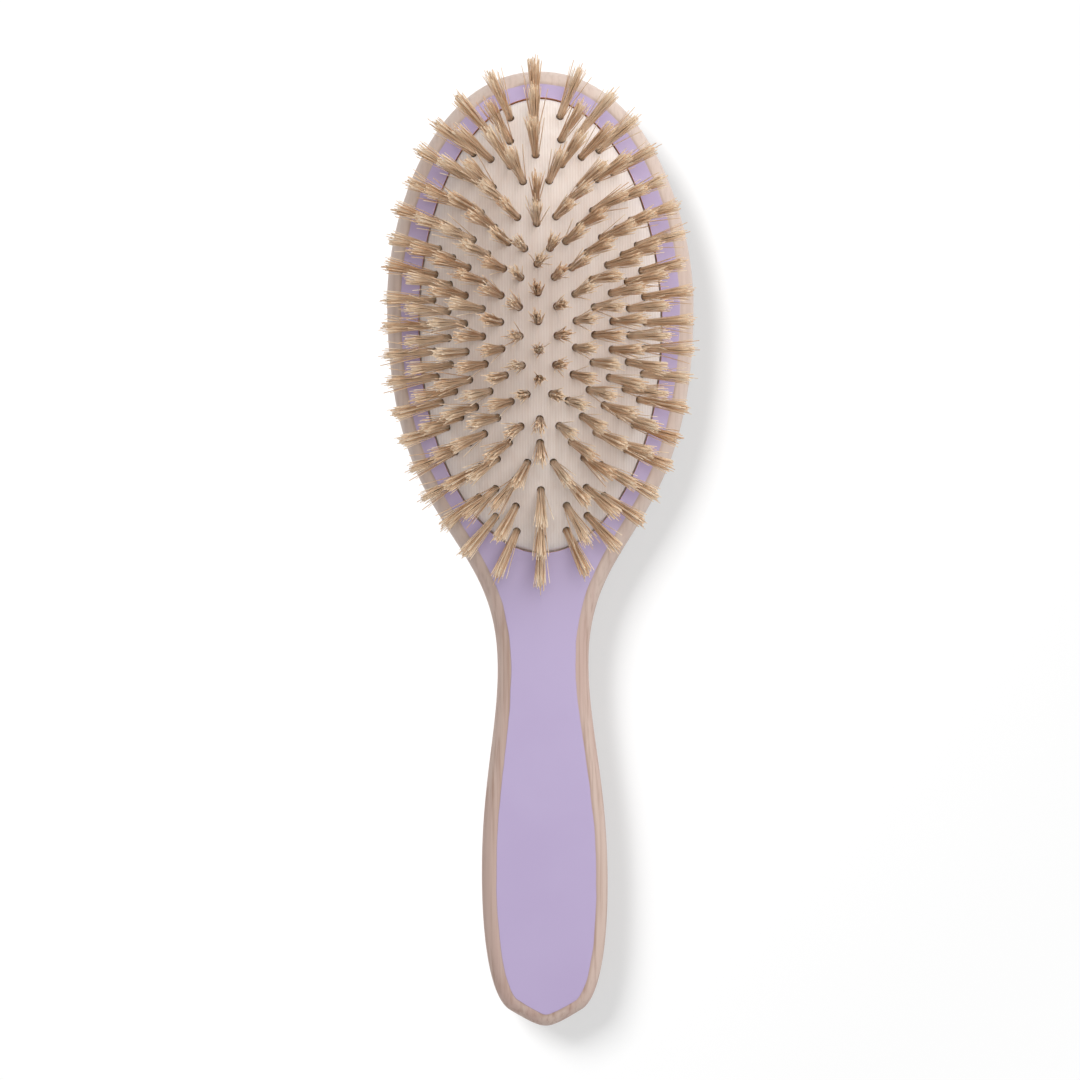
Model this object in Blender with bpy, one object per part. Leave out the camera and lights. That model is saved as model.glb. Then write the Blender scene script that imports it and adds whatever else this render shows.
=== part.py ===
"""Oval cushion hair brush: a wooden head and handle, an air cushion of thin rubber whose bead sits in
a grooved pocket, and boar bristle tufts that stand square to the cushion's crown.

Metres, +Z up. The brush lies on its back with its bristles up. +Y points to the head's tip, and the
origin is on the flat back, under the middle of the pocket.
"""

import math

import bmesh
import bpy
from mathutils import Matrix, Vector

# Wooden head and handle
BODY_LENGTH = 0.229
BODY_THICKNESS = 0.013
HEAD_WIDTH = 0.0736
NECK_WIDTH = 0.0218
GRIP_WIDTH = 0.0302
NECK_RUN = 0.02695
FRONT_ROUND = 0.0032
BACK_ROUND = 0.0042

# Bends of the outline, as shares of the lengths and widths they follow
WIDEST_SHARE = 0.093
TIP_HANDLE_SHARE = 0.706
HEAD_HANDLE_SHARE = 0.36
WAIST_HANDLE_SHARES = (0.65, 0.383)
GRIP_PLACE_SHARE = 0.589
GRIP_HANDLE_SHARES = (0.302, 0.45)
SHOULDER_SHARES = (0.57, 0.256)
SHOULDER_SLOPE_SHARES = (0.9, 0.545)
SHOULDER_HANDLE_SHARES = (0.462, 0.352, 0.363, 0.113)
OUTLINE_STEPS = 14
ROUND_STEPS = 4
WELD = 0.00003
FLAT_COSINE = 0.99
SMOOTH_ANGLE = math.radians(35)

# Pocket in the head, with the undercut groove that grips the cushion's bead
POCKET_LENGTH = 0.1088
POCKET_DEPTH = 0.009
TIP_BORDER = 0.00675
SIDE_BORDER = 0.0077
FACE_LIP = 0.0022
GROOVE_HEIGHT = 0.0018
GROOVE_DEPTH = 0.0015
POCKET_SIDES = 72
CUT_OVERRUN = 0.002

# Air cushion
CROWN_HEIGHT = 0.0112
RIDGE_LENGTH = 0.035
SHOULDER_MARGIN = 0.0007
RUBBER = 0.0015
RIM_GAP = 0.0004
FIT_GAP = 0.0003
CUSHION_SIDES = 36
CUSHION_ROW_SHARES = (0.08, 0.33, 0.58, 0.79, 1.0)

# Tufts: a line along the ridge and oval rows round it, each row split in equal arcs
CENTRE_TUFTS = 5
CENTRE_SPREAD_SHARE = 0.77
ROW_TUFTS = (14, 20, 24, 28, 34, 40)
ROW_ARCS = (2, 4, 4, 4, 6, 8)
ROW_START_SHARES = (0, 0, 0.5, 0, 0, 0)
ROW_SIDES = (18, 36, 36, 36, 36, 36)
ROW_MARGIN = 0.00345
TUFT_LENGTH = 0.0178
TUFT_WIDTH = 0.0027
TUFT_SPLIT = 0.0009
TIP_SPREAD = 0.0011
TIP_WIDTH_SHARE = 0.4
STRAND_LENGTH_SHARES = (1.0, 0.93, 0.965)
STRANDS = 3
GOLDEN_TURN = math.pi * (3 - math.sqrt(5))
SPACING_STEPS = 40

# Slice of the cushion's skin that carries an arc of tufts
BACKING = 0.0006
SEAM = 0.0003
SLIVER_SHARE = 0.1

# Sizes that follow
pocket_half_width = HEAD_WIDTH / 2 - SIDE_BORDER
pocket_half_length = POCKET_LENGTH / 2
head_tip = pocket_half_length + TIP_BORDER
handle_end = head_tip - BODY_LENGTH
rim_half_width = pocket_half_width - RIM_GAP
rim_half_length = pocket_half_length - RIM_GAP
crown_radius = (rim_half_width ** 2 + CROWN_HEIGHT ** 2) / (2 * CROWN_HEIGHT)
rim_lean = math.asin(rim_half_width / crown_radius)
outer_row_share = math.asin((rim_half_width - ROW_MARGIN) / crown_radius) / rim_lean
row_pitch_share = outer_row_share / len(ROW_TUFTS)
rows_end_share = outer_row_share + row_pitch_share / 2
seam_share = SEAM / (crown_radius * rim_lean)


def colour_material(name, colour, roughness):
    material = bpy.data.materials.new(name)
    material.use_nodes = True
    shader = material.node_tree.nodes["Principled BSDF"]
    shader.inputs["Base Color"].default_value = (*colour, 1)
    shader.inputs["Roughness"].default_value = roughness
    shader.inputs["Metallic"].default_value = 0
    return material


def add_object(name, mesh, collection, materials):
    obj = bpy.data.objects.new(name, mesh)
    collection.objects.link(obj)
    for material in materials:
        mesh.materials.append(material)
    return obj


def finished_mesh(obj):
    """Return the object's mesh with its modifiers worked in, and remove the object."""
    view = bpy.context.evaluated_depsgraph_get()
    mesh = bpy.data.meshes.new_from_object(obj.evaluated_get(view))
    bpy.data.objects.remove(obj)
    return mesh


def shade(mesh):
    mesh.shade_smooth()
    mesh.set_sharp_from_angle(angle=SMOOTH_ANGLE)


def loft(rings):
    """Skin a row of rings and cap both ends. Each ring turns right-handed about the way to the next."""
    bm = bmesh.new()
    rows = []
    for ring in rings:
        rows.append([bm.verts.new(point) for point in ring])
    for lower, upper in zip(rows, rows[1:]):
        for i in range(len(lower)):
            j = (i + 1) % len(lower)
            bm.faces.new((lower[i], lower[j], upper[j], upper[i]))
    bm.faces.new(reversed(rows[0]))
    bm.faces.new(rows[-1])
    mesh = bpy.data.meshes.new("loft")
    bm.to_mesh(mesh)
    bm.free()
    return mesh


def oval(half_width, half_length, height, sides):
    turn = 2 * math.pi / sides
    points = []
    for i in range(sides):
        x = half_width * math.cos(i * turn)
        y = half_length * math.sin(i * turn)
        points.append((x, y, height))
    return points


def crown_oval(share, depth):
    """Half width, half length and height of a level oval of the crown, measured from its rim.

    The share runs along the crown's section from the ridge, 0, to the rim, 1. The depth goes
    square into the crown. Past the rows of tufts the crown's ends drop to the rim in a steep shoulder.
    """
    lean = share * rim_lean
    half_width = (crown_radius - depth) * math.sin(lean)
    ridge = RIDGE_LENGTH / 2
    rows_end = rim_half_length - SHOULDER_MARGIN
    if share < rows_end_share:
        half_length = ridge + (rows_end - ridge) * share / rows_end_share
    else:
        half_length = rows_end + SHOULDER_MARGIN * (share - rows_end_share) / (1 - rows_end_share)
    half_length -= depth * math.sin(lean)
    height = (crown_radius - depth) * math.cos(lean) - crown_radius * math.cos(rim_lean)
    return half_width, half_length, height


def crown_point(share, depth, angle, sides):
    """A point of the crown at this angle, on the flat facet between two of an oval's corners."""
    half_width, half_length, height = crown_oval(share, depth)
    step = 2 * math.pi / sides
    corner = math.floor(angle / step)
    ends = []
    for turn in (corner * step, (corner + 1) * step):
        ends.append(Vector((half_width * math.cos(turn), half_length * math.sin(turn), height)))
    return ends[0].lerp(ends[1], angle / step - corner)


def even_angles(share, count, start_share):
    """Angles that space points evenly along an oval of the crown, from its end at +Y."""
    half_width, half_length, _ = crown_oval(share, 0)
    steps = SPACING_STEPS * count
    step = 2 * math.pi / steps
    run = [0.0]
    for i in range(steps):
        angle = math.pi / 2 + (i + 0.5) * step
        run.append(run[-1] + math.hypot(half_width * math.sin(angle), half_length * math.cos(angle)) * step)
    angles = []
    place = 0
    for number in range(count):
        target = run[-1] * (number + start_share) / count
        while run[place + 1] < target:
            place += 1
        part = (target - run[place]) / (run[place + 1] - run[place])
        angles.append(math.pi / 2 + (place + part) * step)
    return angles


def body_outline():
    """Points of the outline with their handles, down the +X side from the head's tip."""
    head = HEAD_WIDTH / 2
    neck = NECK_WIDTH / 2
    grip = GRIP_WIDTH / 2
    widest_y = WIDEST_SHARE * head_tip
    neck_y = -(pocket_half_length + NECK_RUN)
    grip_y = neck_y + GRIP_PLACE_SHARE * (handle_end - neck_y)
    shoulder = Vector((SHOULDER_SHARES[0] * grip, handle_end + SHOULDER_SHARES[1] * grip))
    slope = Vector(SHOULDER_SLOPE_SHARES) * grip
    waist_run = widest_y - neck_y
    grip_run = neck_y - grip_y
    shoulder_run = grip_y - shoulder.y
    return (
        ((-TIP_HANDLE_SHARE * head, head_tip), (0, head_tip), (TIP_HANDLE_SHARE * head, head_tip)),
        ((head, widest_y + HEAD_HANDLE_SHARE * (head_tip - widest_y)), (head, widest_y),
         (head, widest_y - WAIST_HANDLE_SHARES[0] * waist_run)),
        ((neck, neck_y + WAIST_HANDLE_SHARES[1] * waist_run), (neck, neck_y),
         (neck, neck_y - GRIP_HANDLE_SHARES[0] * grip_run)),
        ((grip, grip_y + GRIP_HANDLE_SHARES[1] * grip_run), (grip, grip_y),
         (grip, grip_y - SHOULDER_HANDLE_SHARES[0] * shoulder_run)),
        (shoulder + SHOULDER_HANDLE_SHARES[1] * slope, shoulder, shoulder - SHOULDER_HANDLE_SHARES[2] * slope),
        ((SHOULDER_HANDLE_SHARES[3] * grip, handle_end), (0, handle_end),
         (-SHOULDER_HANDLE_SHARES[3] * grip, handle_end)),
    )


def board_mesh():
    """The board: its outline as a flat curve, extruded to the body's thickness."""
    right = body_outline()
    left = []
    for before, point, after in reversed(right[1:-1]):
        left.append(tuple((-x, y) for x, y in (after, point, before)))
    knots = list(right) + left
    curve = bpy.data.curves.new("board", "CURVE")
    curve.dimensions = "2D"
    curve.fill_mode = "BOTH"
    curve.extrude = BODY_THICKNESS / 2
    curve.resolution_u = OUTLINE_STEPS
    spline = curve.splines.new("BEZIER")
    spline.bezier_points.add(len(knots) - 1)
    spline.use_cyclic_u = True
    for knot, (before, point, after) in zip(spline.bezier_points, knots):
        knot.handle_left_type = "FREE"
        knot.handle_right_type = "FREE"
        knot.handle_left = (*before, 0)
        knot.co = (*point, 0)
        knot.handle_right = (*after, 0)
    guide = bpy.data.objects.new("board", curve)
    bpy.context.scene.collection.objects.link(guide)
    return finished_mesh(guide)


def round_edges(bm, height, radius):
    """Round over the board's edge loop at one height."""
    edges = []
    for edge in bm.edges:
        level = all(abs(vert.co.z - height) < WELD for vert in edge.verts)
        if level and edge.is_manifold and edge.calc_face_angle() > math.pi / 4:
            edges.append(edge)
    bmesh.ops.bevel(bm, geom=edges, offset=radius, offset_type="OFFSET", segments=ROUND_STEPS,
                    profile=0.5, affect="EDGES", clamp_overlap=True)


def make_wood_body(collection, cutters, wood, lacquer, dark_wood):
    mesh = board_mesh()
    half = BODY_THICKNESS / 2
    bm = bmesh.new()
    bm.from_mesh(mesh)
    bmesh.ops.remove_doubles(bm, verts=bm.verts, dist=WELD)
    for side in (1, -1):
        flats = [face for face in bm.faces if face.normal.z * side > FLAT_COSINE]
        bmesh.ops.dissolve_faces(bm, faces=flats)
    round_edges(bm, half, FRONT_ROUND)
    round_edges(bm, -half, BACK_ROUND)
    bmesh.ops.recalc_face_normals(bm, faces=bm.faces)
    bm.to_mesh(mesh)
    bm.free()
    body = add_object("wood_body", mesh, collection, (wood, lacquer, dark_wood))
    body.location.z = half
    for face in mesh.polygons:
        face.material_index = 1 if abs(face.normal.z) > FLAT_COSINE else 0

    lip = half - FACE_LIP
    floor = half - POCKET_DEPTH
    wide = pocket_half_width
    long = pocket_half_length
    levels = (
        (wide, long, floor),
        (wide, long, lip - GROOVE_HEIGHT),
        (wide + GROOVE_DEPTH, long + GROOVE_DEPTH, lip - GROOVE_HEIGHT),
        (wide + GROOVE_DEPTH, long + GROOVE_DEPTH, lip),
        (wide, long, lip),
        (wide, long, half + CUT_OVERRUN),
    )
    pocket_mesh = loft([oval(*level, POCKET_SIDES) for level in levels])
    pocket = add_object("pocket_cutter", pocket_mesh, cutters, (wood, lacquer, dark_wood))
    pocket.location.z = half
    pocket.display_type = "WIRE"
    pocket.hide_render = True
    for face in pocket_mesh.polygons:
        face.material_index = 2
    cut = body.modifiers.new("pocket", "BOOLEAN")
    cut.operation = "DIFFERENCE"
    cut.solver = "EXACT"
    cut.object = pocket
    return body


def make_cushion(collection, rubber):
    """The air cushion: one rubber shell, recessed under the slices that carry the tufts."""
    recess = BACKING + FIT_GAP
    bead_top = -FACE_LIP - FIT_GAP
    bead_bottom = -FACE_LIP - GROOVE_HEIGHT + FIT_GAP
    bead_reach = RIM_GAP + GROOVE_DEPTH - FIT_GAP
    inner_width = rim_half_width - RUBBER
    inner_length = rim_half_length - RUBBER
    rings = []
    for share in CUSHION_ROW_SHARES:
        rings.append(crown_oval(share * rows_end_share, recess + RUBBER))
    rings.append((inner_width, inner_length, bead_top))
    rings.append((inner_width, inner_length, bead_bottom))
    rings.append((rim_half_width + bead_reach, rim_half_length + bead_reach, bead_bottom))
    rings.append((rim_half_width + bead_reach, rim_half_length + bead_reach, bead_top))
    rings.append((rim_half_width, rim_half_length, bead_top))
    rings.append(crown_oval(1, 0))
    rings.append(crown_oval(rows_end_share + seam_share / 2, 0))
    for share in reversed(CUSHION_ROW_SHARES):
        rings.append(crown_oval(share * rows_end_share, recess))
    mesh = loft([oval(*ring, CUSHION_SIDES) for ring in rings])
    cushion = add_object("cushion", mesh, collection, (rubber,))
    cushion.location.z = BODY_THICKNESS
    shade(mesh)
    return cushion


def tuft_places(inner, outer, angles, sides):
    """Each tuft's foot, midway across a slice, and the way it points, square to the crown."""
    places = []
    share = (inner + outer) / 2
    lean = share * rim_lean
    half_width, half_length, _ = crown_oval(share, 0)
    for angle in angles:
        outward = Vector((math.cos(angle) * half_length, math.sin(angle) * half_width, 0)).normalized()
        way = outward * math.sin(lean) + Vector((0, 0, math.cos(lean)))
        edges = [crown_point(edge, BACKING / 2, angle, sides) for edge in (inner, outer)]
        places.append((edges[0].lerp(edges[1], 1 / 2), way))
    return places


def tuft_bunch(places, first, bristle_index):
    """Several tufts in one mesh: a three-sided root that splits about its middle into three strands."""
    bm = bmesh.new()
    for number, (foot, way) in enumerate(places):
        root = bmesh.ops.create_cone(bm, cap_ends=True, segments=STRANDS, radius1=TUFT_WIDTH / 2,
                                     radius2=TUFT_WIDTH / 2, depth=BACKING / 2 + TUFT_SPLIT)
        verts = root["verts"]
        bmesh.ops.translate(bm, verts=verts, vec=(0, 0, (BACKING / 2 + TUFT_SPLIT) / 2))
        walls = {face for vert in verts for face in vert.link_faces}
        top = max(walls, key=lambda face: face.calc_center_median().z)
        thirds = bmesh.ops.poke(bm, faces=[top])
        verts += thirds["verts"]
        strands = bmesh.ops.extrude_discrete_faces(bm, faces=thirds["faces"])["faces"]
        for strand, length_share in zip(strands, STRAND_LENGTH_SHARES):
            middle = strand.calc_center_median()
            spread = Vector((middle.x, middle.y, 0)).normalized() * TIP_SPREAD
            narrow = Matrix.Translation(middle) @ Matrix.Scale(TIP_WIDTH_SHARE, 4) @ Matrix.Translation(-middle)
            bmesh.ops.transform(bm, matrix=narrow, verts=strand.verts)
            rise = length_share * (TUFT_LENGTH - TUFT_SPLIT)
            bmesh.ops.translate(bm, verts=strand.verts, vec=spread + Vector((0, 0, rise)))
            verts += list(strand.verts)
        turn = way.to_track_quat("Z", "Y").to_matrix().to_4x4()
        turn = turn @ Matrix.Rotation((first + number) * GOLDEN_TURN, 4, "Z")
        bmesh.ops.transform(bm, matrix=Matrix.Translation(foot) @ turn, verts=verts)
    bmesh.ops.recalc_face_normals(bm, faces=bm.faces)
    for face in bm.faces:
        face.material_index = bristle_index
    mesh = bpy.data.meshes.new("tufts")
    bm.to_mesh(mesh)
    bm.free()
    return mesh


def strip_mesh(inner, outer, start, end, sides):
    """An arc of the crown's skin between two ovals, faceted as a whole oval with these sides is."""
    step = 2 * math.pi / sides
    angles = [start]
    line = math.floor(start / step) + 1
    while line * step < end:
        if min(line * step - start, end - line * step) > SLIVER_SHARE * step:
            angles.append(line * step)
        line += 1
    angles.append(end)
    sections = []
    for angle in angles:
        sections.append((
            crown_point(inner, BACKING, angle, sides),
            crown_point(inner, 0, angle, sides),
            crown_point(outer, 0, angle, sides),
            crown_point(outer, BACKING, angle, sides),
        ))
    return loft(sections)


def fuse_tufts(name, backing, tufts, collection, parent, materials):
    """Join an arc's tufts to the slice that carries them."""
    slice_object = add_object(name + "_slice", backing, collection, materials)
    bunch = add_object(name + "_tufts", tufts, collection, materials)
    join = slice_object.modifiers.new("tufts", "BOOLEAN")
    join.operation = "UNION"
    join.solver = "EXACT"
    join.object = bunch
    mesh = finished_mesh(slice_object)
    bpy.data.objects.remove(bunch)
    mesh.name = name
    arc = bpy.data.objects.new(name, mesh)
    collection.objects.link(arc)
    arc.parent = parent
    return arc


def make_centre_line(collection, parent, materials):
    share = row_pitch_share / 2 - seam_share / 2
    levels = (crown_oval(share, BACKING), crown_oval(share, 0))
    top = levels[1][2]
    backing = loft([oval(*level, ROW_SIDES[0]) for level in levels])
    reach = CENTRE_SPREAD_SHARE * RIDGE_LENGTH / 2
    places = []
    for i in range(CENTRE_TUFTS):
        y = reach * (2 * i / (CENTRE_TUFTS - 1) - 1)
        places.append((Vector((0, y, top - BACKING / 2)), Vector((0, 0, 1))))
    return fuse_tufts("bristles_centre", backing, tuft_bunch(places, 0, 1), collection, parent, materials)


def make_row(row, collection, parent, materials):
    """One oval row of tufts, as separate arcs of the cushion's skin with their tufts."""
    share = (row + 1) * row_pitch_share
    inner = share - row_pitch_share / 2 + seam_share / 2
    outer = share + row_pitch_share / 2 - seam_share / 2
    count = ROW_TUFTS[row]
    arcs = ROW_ARCS[row]
    angles = even_angles(share, count, ROW_START_SHARES[row])
    cuts = even_angles(share, count, ROW_START_SHARES[row] + 0.5)
    half_width, half_length, _ = crown_oval(share, 0)
    first = 0
    for arc in range(arcs):
        last = round((arc + 1) * count / arcs)
        start = cuts[first - 1] if first else cuts[-1] - 2 * math.pi
        end = cuts[last - 1]
        trims = []
        for cut in (start, end):
            run = math.hypot(half_width * math.sin(cut), half_length * math.cos(cut))
            trims.append(SEAM / 2 / run)
        backing = strip_mesh(inner, outer, start + trims[0], end - trims[1], ROW_SIDES[row])
        places = tuft_places(inner, outer, angles[first:last], ROW_SIDES[row])
        name = f"bristles_row{row + 1}_{arc + 1}"
        fuse_tufts(name, backing, tuft_bunch(places, first, 1), collection, parent, materials)
        first = last


def main():
    for obj in list(bpy.data.objects):
        bpy.data.objects.remove(obj)
    brush = bpy.data.collections.new("cushion_hair_brush")
    cutters = bpy.data.collections.new("cutters")
    bpy.context.scene.collection.children.link(brush)
    bpy.context.scene.collection.children.link(cutters)

    wood = colour_material("pale_wood", (0.62, 0.49, 0.41), 0.5)
    lacquer = colour_material("lilac_lacquer", (0.50, 0.41, 0.63), 0.45)
    dark_wood = colour_material("pocket_wood", (0.25, 0.16, 0.11), 0.7)
    rubber = colour_material("cream_rubber", (0.70, 0.60, 0.51), 0.6)
    bristle = colour_material("boar_bristle", (0.50, 0.34, 0.20), 0.55)

    body = make_wood_body(brush, cutters, wood, lacquer, dark_wood)
    make_cushion(brush, rubber)
    pad = bpy.data.objects.new("pad_press", None)
    pad.location.z = BODY_THICKNESS
    brush.objects.link(pad)
    make_centre_line(brush, pad, (rubber, bristle))
    for row in range(len(ROW_TUFTS)):
        make_row(row, brush, pad, (rubber, bristle))
    shade(body.data)


main()
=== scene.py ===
# %% [markdown]
# An oval cushion hair brush, lying on its back with its bristles up. The board is one piece of
# pale wood, painted lilac on its flat front and left bare round its edge. A crowned cushion of
# thin cream rubber sits in a pocket in the head, and tufts of boar bristle stand in its holes.
#
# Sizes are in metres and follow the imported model. +Y points to the head's tip, and +Z up.

import itertools
import math
import random

import bpy
import numpy as np
from mathutils import Matrix, Vector


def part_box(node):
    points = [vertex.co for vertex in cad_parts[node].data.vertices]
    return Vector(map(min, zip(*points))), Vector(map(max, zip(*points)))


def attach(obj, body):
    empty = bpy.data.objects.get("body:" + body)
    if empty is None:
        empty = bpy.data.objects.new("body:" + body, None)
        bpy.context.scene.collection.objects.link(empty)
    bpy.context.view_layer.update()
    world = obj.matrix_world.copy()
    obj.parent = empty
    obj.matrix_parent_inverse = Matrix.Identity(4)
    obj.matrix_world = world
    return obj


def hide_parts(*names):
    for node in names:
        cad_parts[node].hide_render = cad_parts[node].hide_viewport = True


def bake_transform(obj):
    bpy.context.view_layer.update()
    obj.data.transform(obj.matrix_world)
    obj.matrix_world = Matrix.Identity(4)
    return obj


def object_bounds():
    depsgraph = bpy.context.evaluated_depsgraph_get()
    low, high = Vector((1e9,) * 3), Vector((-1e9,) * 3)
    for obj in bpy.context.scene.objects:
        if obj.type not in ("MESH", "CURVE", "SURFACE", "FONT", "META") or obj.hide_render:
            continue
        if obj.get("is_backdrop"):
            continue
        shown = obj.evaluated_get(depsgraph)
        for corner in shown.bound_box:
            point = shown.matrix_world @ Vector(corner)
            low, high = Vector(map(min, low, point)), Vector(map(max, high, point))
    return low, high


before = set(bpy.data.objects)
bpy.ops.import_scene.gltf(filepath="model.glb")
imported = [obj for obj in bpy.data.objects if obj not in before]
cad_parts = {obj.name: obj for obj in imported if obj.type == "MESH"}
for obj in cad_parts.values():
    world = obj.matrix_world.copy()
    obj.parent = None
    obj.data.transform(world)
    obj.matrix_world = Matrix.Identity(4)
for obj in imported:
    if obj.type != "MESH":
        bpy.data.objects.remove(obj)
cad_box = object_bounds()

# %% [markdown]
# The photograph looks straight down on the brush. The way its tufts spread fits a long lens at
# about arm's length. The camera stands over a point between the head and the handle. The brush
# lies a little askew in the picture. It could be turned to match, but it has to stay on the packed
# model's axes, so the camera is turned about its own axis instead.

# %% Camera
CAMERA_PLACE = (-0.0005, -0.0513, 0.612)
CAMERA_TURN = math.radians(-0.45)
FILM_WIDTH = 36
LENS = 83.6

bpy.ops.object.camera_add(location=CAMERA_PLACE, rotation=(0, 0, CAMERA_TURN))
camera = bpy.context.object
camera.name = "camera"
camera.data.sensor_width = FILM_WIDTH
camera.data.lens = LENS
bpy.context.scene.camera = camera
bpy.context.scene.view_settings.view_transform = "Standard"
print("camera at", tuple(camera.location), "with a lens of", LENS, "mm")

# %% [markdown]
# An operator works on whatever is selected, and loading leaves the model selected. So each piece
# starts with nothing selected. A finished piece keeps its place in its mesh, with its object at
# the origin, so that a pattern on object coordinates stays put when the piece is exported.

# %% Helpers for modelling
def start_fresh():
    """Leave edit mode and select nothing."""
    if bpy.context.object and bpy.context.object.mode != "OBJECT":
        bpy.ops.object.mode_set(mode="OBJECT")
    bpy.ops.object.select_all(action="DESELECT")


def pick(obj):
    """Select one object alone, and make it the active one."""
    start_fresh()
    obj.select_set(True)
    bpy.context.view_layer.objects.active = obj


def settle(obj):
    """Work the object's place, turn and size into its mesh."""
    pick(obj)
    bpy.ops.object.transform_apply(location=True, rotation=True, scale=True)


def report(obj):
    """Print an object's name, its number of faces and the sides of its box."""
    sides = tuple(round(1000 * side, 1) for side in obj.dimensions)
    print(obj.name, len(obj.data.polygons), "faces", sides, "mm")


# %% [markdown]
# The finishes are patterns of shader nodes, worked out from object coordinates, so they need no
# image and no unwrapping. Nodes could be added and linked one by one, but sums are easier to read.
# A small class wraps the output socket of a node, and each operation on it adds a Math node, so
# that `1 - mask` is one node. The `node` method adds any other node that a pattern needs. A Finish
# is a material with one Principled shader.

# %% Shader maths
class Value:
    """A node's output, which can be used in sums."""

    def __init__(self, tree, socket):
        self.tree = tree
        self.socket = socket

    def math(self, operation, *others):
        """A Math node whose first number is this output."""
        terms = dict(enumerate((self, *others)))
        return self.tree.node("ShaderNodeMath", {"operation": operation}, terms)

    def __add__(self, other):
        return self.math("ADD", other)

    def __sub__(self, other):
        return self.math("SUBTRACT", other)

    def __rsub__(self, other):
        return self.tree.node("ShaderNodeMath", {"operation": "SUBTRACT"}, {0: other, 1: self})

    def __mul__(self, other):
        return self.math("MULTIPLY", other)

    __radd__ = __add__

    def step(self, low, high):
        """0 below the low value, 1 above the high one, and a smooth step between them."""
        settings = {"interpolation_type": "SMOOTHSTEP"}
        sockets = {"Value": self, "From Min": low, "From Max": high}
        return self.tree.node("ShaderNodeMapRange", settings, sockets)


class Tree:
    """The nodes of a material or of the sky."""

    def __init__(self, node_tree):
        self.nodes = node_tree.nodes
        self.links = node_tree.links

    def feed(self, node, sockets):
        """Set a node's sockets, each by a number, a colour or another node's output."""
        for key, given in sockets.items():
            socket = node.inputs[key]
            if isinstance(given, Value):
                self.links.new(given.socket, socket)
            else:
                socket.default_value = given

    def node(self, kind, settings=None, sockets=None, output=0):
        """Add a node with these settings and sockets, and give one of its outputs."""
        node = self.nodes.new(kind)
        for setting, value in (settings or {}).items():
            setattr(node, setting, value)
        self.feed(node, sockets or {})
        return Value(self, node.outputs[output])


class Finish(Tree):
    """A material with one shader, and the patterns that feed it."""

    def __init__(self, name):
        self.material = bpy.data.materials.new(name)
        self.material.use_nodes = True
        super().__init__(self.material.node_tree)
        self.shader = self.nodes["Principled BSDF"]

    def mix(self, share, first, second):
        """A colour between two others. A Mix node has these as its inputs 6 and 7."""
        sockets = {0: share, 6: first, 7: second}
        return self.node("ShaderNodeMix", {"data_type": "RGBA"}, sockets, output=2)

    def place(self):
        """The object coordinates."""
        return self.node("ShaderNodeTexCoord", output="Object")

    def axes(self):
        """The object coordinates as three numbers."""
        split = self.node("ShaderNodeSeparateXYZ", sockets={"Vector": self.place()}).socket.node
        return [Value(self, output) for output in split.outputs]

    def noise(self, scale, stretch=(1, 1, 1), detail=2.0, roughness=0.5):
        """Smooth noise on object coordinates, drawn out along an axis by a small stretch."""
        place = self.node("ShaderNodeMapping", sockets={"Vector": self.place(), "Scale": stretch})
        sockets = {"Vector": place, "Scale": scale, "Detail": detail, "Roughness": roughness}
        return self.node("ShaderNodeTexNoise", sockets=sockets)

    def attribute(self, name):
        """A number that each point of the mesh carries."""
        return self.node("ShaderNodeAttribute", {"attribute_name": name}, output="Fac")

    def bump(self, height, depth):
        """A surface that is raised by this depth, in metres, where the height is 1."""
        sockets = {"Height": height, "Distance": depth, "Strength": 1}
        return self.node("ShaderNodeBump", sockets=sockets)


def colour(red, green, blue):
    """A colour as a screen shows it, from 0 to 255, as the linear light that shaders use.

    The numbers are those of the sRGB standard.
    """
    parts = []
    for level in (red, green, blue):
        part = level / 255
        parts.append(part / 12.92 if part <= 0.04045 else ((part + 0.055) / 1.055) ** 2.4)
    return (*parts, 1)


def grey(level):
    """A grey, or white, from its linear light."""
    return (level, level, level, 1)


# %% [markdown]
# The brush lies on a white ground that shows nothing but its shadow. A plane does for that. Lit as
# paper is, it would look grey, and if it glowed, it would show no shadow. So its material mixes
# the two for the camera and for reflections, while it lights the brush as plain paper. Away from
# the brush the floor turns plain white, like the sky behind it, which hides its far edge.

# %% Floor
FLOOR_SIDE = 6.0
FLOOR_DROP = 0.0002
FLOOR_GREY = 0.86
FLOOR_ROUGHNESS = 0.9
FLOOR_WHITE_SHARE = 0.56
FLOOR_FADE = (0.12, 0.22)
FLOOR_MIDDLE = (0, -0.053, 0)


def seen_rays(tree):
    """1 for a ray that shows a surface to the camera, straight or reflected, and 0 for the rest."""
    rays = tree.nodes.new("ShaderNodeLightPath").outputs
    kinds = ("Is Camera Ray", "Is Glossy Ray", "Is Transmission Ray")
    return sum(Value(tree, rays[kind]) for kind in kinds)


start_fresh()
bpy.ops.mesh.primitive_plane_add(size=FLOOR_SIDE, location=(0, 0, -FLOOR_DROP))
floor = bpy.context.object
floor.name = "floor"
settle(floor)
floor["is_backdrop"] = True

paper = Finish("white_floor")
paper.feed(paper.shader, {
    "Base Color": grey(FLOOR_GREY),
    "Roughness": FLOOR_ROUGHNESS,
    "Specular IOR Level": 0,
})
reach = paper.node("ShaderNodeVectorMath", {"operation": "DISTANCE"},
                   {0: paper.place(), 1: FLOOR_MIDDLE}, output="Value")
white_share = FLOOR_WHITE_SHARE + reach.step(*FLOOR_FADE) * (1 - FLOOR_WHITE_SHARE)
plain = Value(paper, paper.shader.outputs[0])
white = paper.node("ShaderNodeEmission", sockets={"Color": grey(1), "Strength": 1})
shown = paper.node("ShaderNodeMixShader",
                   sockets={0: seen_rays(paper) * white_share, 1: plain, 2: white})
paper.feed(paper.nodes["Material Output"], {"Surface": shown})
floor.data.materials.append(paper.material)
print("floor", FLOOR_SIDE, "m wide")

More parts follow.
